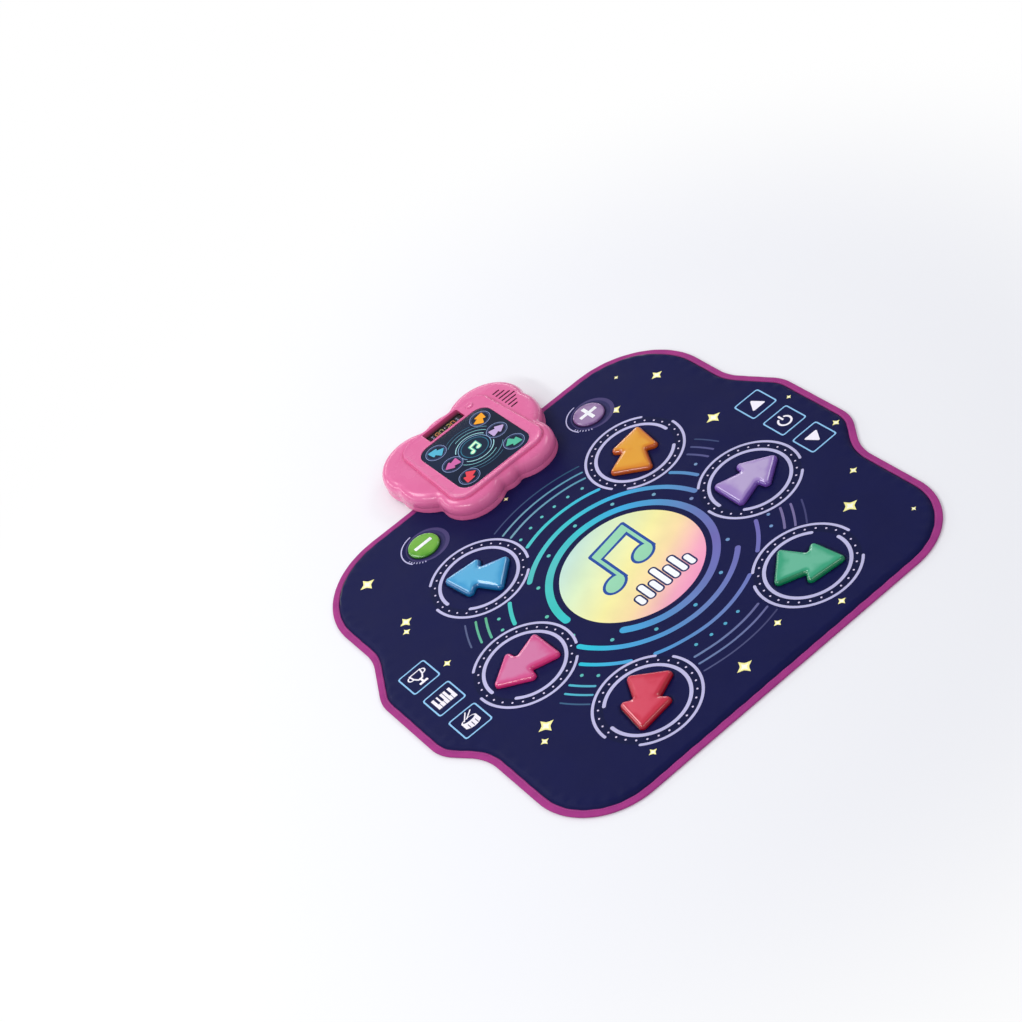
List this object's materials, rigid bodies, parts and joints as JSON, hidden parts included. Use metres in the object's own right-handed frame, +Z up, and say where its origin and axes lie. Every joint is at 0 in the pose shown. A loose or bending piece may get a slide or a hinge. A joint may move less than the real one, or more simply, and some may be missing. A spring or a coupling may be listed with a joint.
{
  "type": "electronic dance mat",
  "caption": "Padded floor mat with raised arrow foot pads, round volume pads and printed touch keys, and a cloud-shaped console with lights, display and speaker clamped over its back edge",
  "frame": {"origin": "on the floor under the mat's flat underside, midway between the left and right arrow pads", "axes": "+X to the player's right, +Y towards the console at the back edge, +Z up from the floor"},
  "size_m": [0.845, 0.9415, 0.0474],
  "materials": {
    "printed_cover": "navy soft plastic sheet with a fine grain and a satin print",
    "binding_tape": "magenta woven tape, sewn",
    "grip_sheet": "dark non-slip sheet with small raised dots",
    "foam": "off-white closed-cell foam",
    "contact_film": "clear polyester film with printed silver tracks",
    "pad_upper_left": "glossy translucent blue soft plastic",
    "pad_upper_right": "glossy translucent orange soft plastic",
    "pad_right": "glossy translucent lavender soft plastic",
    "pad_lower_right": "glossy translucent green soft plastic",
    "pad_lower_left": "glossy translucent red soft plastic",
    "pad_left": "glossy translucent pink soft plastic",
    "volume_down": "glossy green soft plastic",
    "volume_up": "glossy lavender soft plastic",
    "console_pink": "glossy pink moulded ABS",
    "smoked_panel": "dark blue-green acrylic with lit rings behind it",
    "smoked_lens": "smoked acrylic over seven-segment digits",
    "black_plastic": "black moulded plastic",
    "white_plastic": "white moulded polystyrene",
    "circuit_board": "glass-epoxy board with green solder mask",
    "plated_steel": "nickel-plated steel",
    "cell_jacket": "plain dark printed jacket over a steel can",
    "foot_rubber": "soft grey rubber"
  },
  "bodies": {
    "mat": {"non_slip_base": "grip_sheet", "padding_foam": "foam", "lower_contact_film": "contact_film", "spacer_foam": "foam", "upper_contact_film": "contact_film", "top_cover": "printed_cover", "edge_binding": "binding_tape", "film_tail": "contact_film", "clamp_plate": "black_plastic", "clamp_screw_1": "plated_steel", "clamp_screw_2": "plated_steel", "clamp_screw_3": "plated_steel", "clamp_screw_4": "plated_steel", "console_base": "console_pink", "console_top": "console_pink", "light_panel": "smoked_panel", "light_guide": "white_plastic", "display_window": "smoked_lens", "led_display": "black_plastic", "main_pcb": "circuit_board", "power_switch": "black_plastic", "speaker": "black_plastic", "speaker_retainer": "white_plastic", "retainer_screw_1": "plated_steel", "retainer_screw_2": "plated_steel", "battery_cell_1": "cell_jacket", "battery_cell_2": "cell_jacket", "battery_cell_3": "cell_jacket", "battery_contact_left": "plated_steel", "battery_contact_right": "plated_steel", "housing_screw_1": "plated_steel", "housing_screw_2": "plated_steel", "housing_screw_3": "plated_steel", "housing_screw_4": "plated_steel", "housing_screw_5": "plated_steel", "housing_screw_6": "plated_steel", "board_screw_1": "plated_steel", "board_screw_2": "plated_steel", "board_screw_3": "plated_steel", "board_screw_4": "plated_steel", "rubber_foot_1": "foot_rubber", "rubber_foot_2": "foot_rubber", "rubber_foot_3": "foot_rubber", "rubber_foot_4": "foot_rubber", "battery_lead": "black_plastic", "speaker_lead": "black_plastic"},
    "upper_left_arrow": {"pad_upper_left": "pad_upper_left"},
    "upper_right_arrow": {"pad_upper_right": "pad_upper_right"},
    "right_arrow": {"pad_right": "pad_right"},
    "lower_right_arrow": {"pad_lower_right": "pad_lower_right"},
    "lower_left_arrow": {"pad_lower_left": "pad_lower_left"},
    "left_arrow": {"pad_left": "pad_left"},
    "volume_down": {"volume_down_pad": "volume_down"},
    "volume_up": {"volume_up_pad": "volume_up"},
    "push_button": {"power_button": "console_pink"},
    "battery_hatch": {"battery_door": "console_pink", "battery_door_screw": "plated_steel"}
  },
  "joints": [
    {"name": "press_upper_left", "type": "slide", "parent": "mat", "child": "upper_left_arrow", "axis": [0, 0, -1], "range_m": [0, 0.0012], "stiffness_N_per_m": 3000, "springref_m": -0.0005},
    {"name": "press_upper_right", "type": "slide", "parent": "mat", "child": "upper_right_arrow", "axis": [0, 0, -1], "range_m": [0, 0.0012], "stiffness_N_per_m": 3000, "springref_m": -0.0005},
    {"name": "press_right", "type": "slide", "parent": "mat", "child": "right_arrow", "axis": [0, 0, -1], "range_m": [0, 0.0012], "stiffness_N_per_m": 3000, "springref_m": -0.0005},
    {"name": "press_lower_right", "type": "slide", "parent": "mat", "child": "lower_right_arrow", "axis": [0, 0, -1], "range_m": [0, 0.0012], "stiffness_N_per_m": 3000, "springref_m": -0.0005},
    {"name": "press_lower_left", "type": "slide", "parent": "mat", "child": "lower_left_arrow", "axis": [0, 0, -1], "range_m": [0, 0.0012], "stiffness_N_per_m": 3000, "springref_m": -0.0005},
    {"name": "press_left", "type": "slide", "parent": "mat", "child": "left_arrow", "axis": [0, 0, -1], "range_m": [0, 0.0012], "stiffness_N_per_m": 3000, "springref_m": -0.0005},
    {"name": "press_volume_down", "type": "slide", "parent": "mat", "child": "volume_down", "axis": [0, 0, -1], "range_m": [0, 0.0012], "stiffness_N_per_m": 1500, "springref_m": -0.0004},
    {"name": "press_volume_up", "type": "slide", "parent": "mat", "child": "volume_up", "axis": [0, 0, -1], "range_m": [0, 0.0012], "stiffness_N_per_m": 1500, "springref_m": -0.0004},
    {"name": "press_push_button", "type": "slide", "parent": "mat", "child": "push_button", "axis": [0, 0, -1], "range_m": [0, 0.0012], "stiffness_N_per_m": 600, "springref_m": -0.0005},
    {"name": "battery_hatch_hinge", "type": "hinge", "parent": "mat", "child": "battery_hatch", "pos_m": [0, 0.496, 0.0021], "axis": [-1, 0, 0], "range_deg": [0, 95]}
  ]
}
